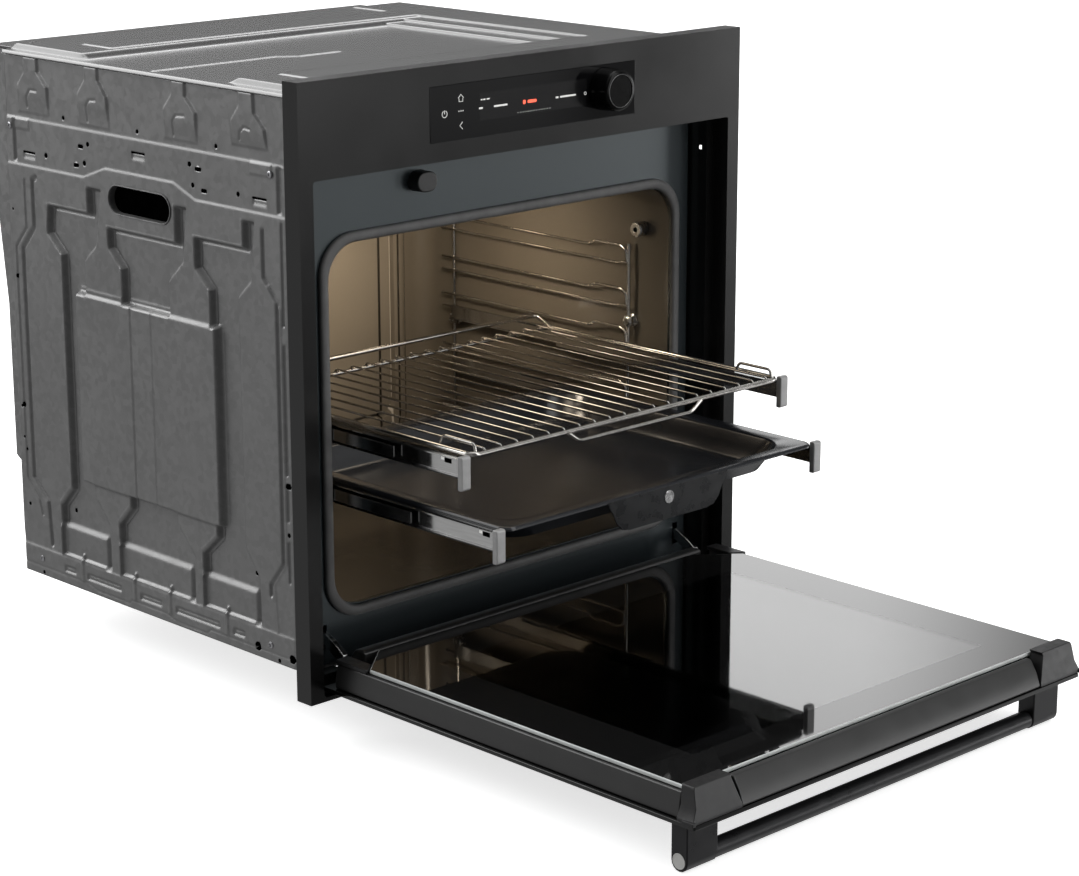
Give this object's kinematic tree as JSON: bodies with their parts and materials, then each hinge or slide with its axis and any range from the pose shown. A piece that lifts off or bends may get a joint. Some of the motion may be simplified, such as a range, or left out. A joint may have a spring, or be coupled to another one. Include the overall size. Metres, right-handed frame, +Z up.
{
  "type": "wall oven",
  "caption": "Built-in electric wall oven with a drop-down glass door, bar handle, rotary selector with display, telescopic wire rack and baking tray, and a galvanised casing.",
  "frame": {"origin": "centre of the casing base underside, where the oven stands on its shelf", "axes": "+X to the right seen from the front, +Y from the front into the oven, +Z up"},
  "size_m": [0.595, 1.033, 0.6345],
  "materials": {
    "black_paint": "satin",
    "display_glass": "gloss",
    "circuit_board": "matte",
    "knob": "satin",
    "encoder": "satin",
    "dark_enamel": "gloss",
    "silicone": "matte",
    "fan_steel": "satin",
    "motor": "satin",
    "heater": "matte",
    "wool": "matte",
    "galvanised": "satin",
    "blower_plastic": "matte",
    "lamp_glass": "gloss",
    "steel": "satin",
    "black_plastic": "satin",
    "chrome_wire": "gloss",
    "tray_enamel": "gloss",
    "outer_glass": "gloss",
    "clear_glass": "gloss",
    "black_trim": "satin",
    "handle": "satin",
    "terminal": "matte",
    "rail_steel": "satin",
    "rail_cap": "satin"
  },
  "bodies": {
    "chassis": {"front_frame": "black_paint", "display_glass": "display_glass", "display_module": "circuit_board", "knob_encoder": "encoder", "muffle": "dark_enamel", "cavity_gasket": "silicone", "fan_cover": "dark_enamel", "fan_motor": "motor", "ring_heater": "heater", "grill_heater": "heater", "bottom_heater": "heater", "insulation": "wool", "cavity_lamp": "lamp_glass", "probe_socket": "steel", "side_grid_left": "chrome_wire", "side_grid_right": "chrome_wire", "hinge_arm_left": "steel", "hinge_arm_right": "steel", "side_panel_left": "galvanised", "side_panel_right": "galvanised", "base_panel": "galvanised", "top_cover": "galvanised", "rear_cover": "galvanised", "terminal_block": "terminal", "cooling_housing": "galvanised", "cooling_motor": "motor", "rail_fixed_upper_left": "rail_steel", "rail_fixed_upper_right": "rail_steel", "rail_fixed_lower_left": "rail_steel", "rail_fixed_lower_right": "rail_steel"},
    "door": {"door_outer_glass": "outer_glass", "door_middle_glass": "clear_glass", "door_inner_glass": "clear_glass", "door_side_trim_left": "black_trim", "door_side_trim_right": "black_trim", "door_front_trim": "black_trim", "door_rear_trim": "black_trim", "door_cap_left": "black_plastic", "door_cap_right": "black_plastic", "handle_bar": "handle", "handle_post_left": "handle", "handle_post_right": "handle"},
    "selector": {"selector_knob": "knob"},
    "convection_wheel": {"convection_fan": "fan_steel"},
    "blower_wheel": {"cooling_wheel": "blower_plastic"},
    "plunger": {"door_plunger": "black_plastic"},
    "upper_slides": {"rail_middle_upper_left": "rail_steel", "rail_middle_upper_right": "rail_steel"},
    "upper_shelf": {"rail_inner_upper_left": "rail_steel", "rail_inner_upper_right": "rail_steel", "rail_cap_upper_left": "rail_cap", "rail_cap_upper_right": "rail_cap", "wire_rack": "chrome_wire"},
    "lower_slides": {"rail_middle_lower_left": "rail_steel", "rail_middle_lower_right": "rail_steel"},
    "lower_shelf": {"rail_inner_lower_left": "rail_steel", "rail_inner_lower_right": "rail_steel", "rail_cap_lower_left": "rail_cap", "rail_cap_lower_right": "rail_cap", "baking_tray": "tray_enamel"}
  },
  "joints": [
    {"name": "door_hinge", "type": "hinge", "parent": "chassis", "child": "door", "pos_m": [0, -0.2575, 0.0005], "axis": [-1, 0, 0], "range_deg": [0, 90]},
    {"name": "upper_shelf_slide", "type": "slide", "parent": "chassis", "child": "upper_shelf", "axis": [0, 1, 0], "range_m": [0, 0.18]},
    {"name": "upper_middle_slide", "type": "slide", "parent": "chassis", "child": "upper_slides", "axis": [0, 1, 0], "range_m": [0, 0.09]},
    {"name": "lower_shelf_slide", "type": "slide", "parent": "chassis", "child": "lower_shelf", "axis": [0, 1, 0], "range_m": [0, 0.226]},
    {"name": "lower_middle_slide", "type": "slide", "parent": "chassis", "child": "lower_slides", "axis": [0, 1, 0], "range_m": [0, 0.113]},
    {"name": "plunger_slide", "type": "slide", "parent": "chassis", "child": "plunger", "axis": [0, 1, 0], "range_m": [0, 0.0085]},
    {"name": "selector_turn", "type": "hinge", "parent": "chassis", "child": "selector", "pos_m": [0.096, -0.278, 0.535], "axis": [0, 1, 0], "continuous": true},
    {"name": "convection_spin", "type": "hinge", "parent": "chassis", "child": "convection_wheel", "pos_m": [0, 0.152, 0.236], "axis": [0, 1, 0], "continuous": true},
    {"name": "blower_spin", "type": "hinge", "parent": "chassis", "child": "blower_wheel", "pos_m": [0, 0.115, 0.516], "axis": [0, 0, 1], "continuous": true}
  ],
  "couplings": [
    {"joint": "upper_shelf_slide", "follows": "door_hinge", "m_per_rad": 0.11459},
    {"joint": "upper_middle_slide", "follows": "door_hinge", "m_per_rad": 0.057295},
    {"joint": "lower_shelf_slide", "follows": "door_hinge", "m_per_rad": 0.14388},
    {"joint": "lower_middle_slide", "follows": "door_hinge", "m_per_rad": 0.071938},
    {"joint": "plunger_slide", "follows": "door_hinge", "m_per_rad": 0.005347}
  ]
}
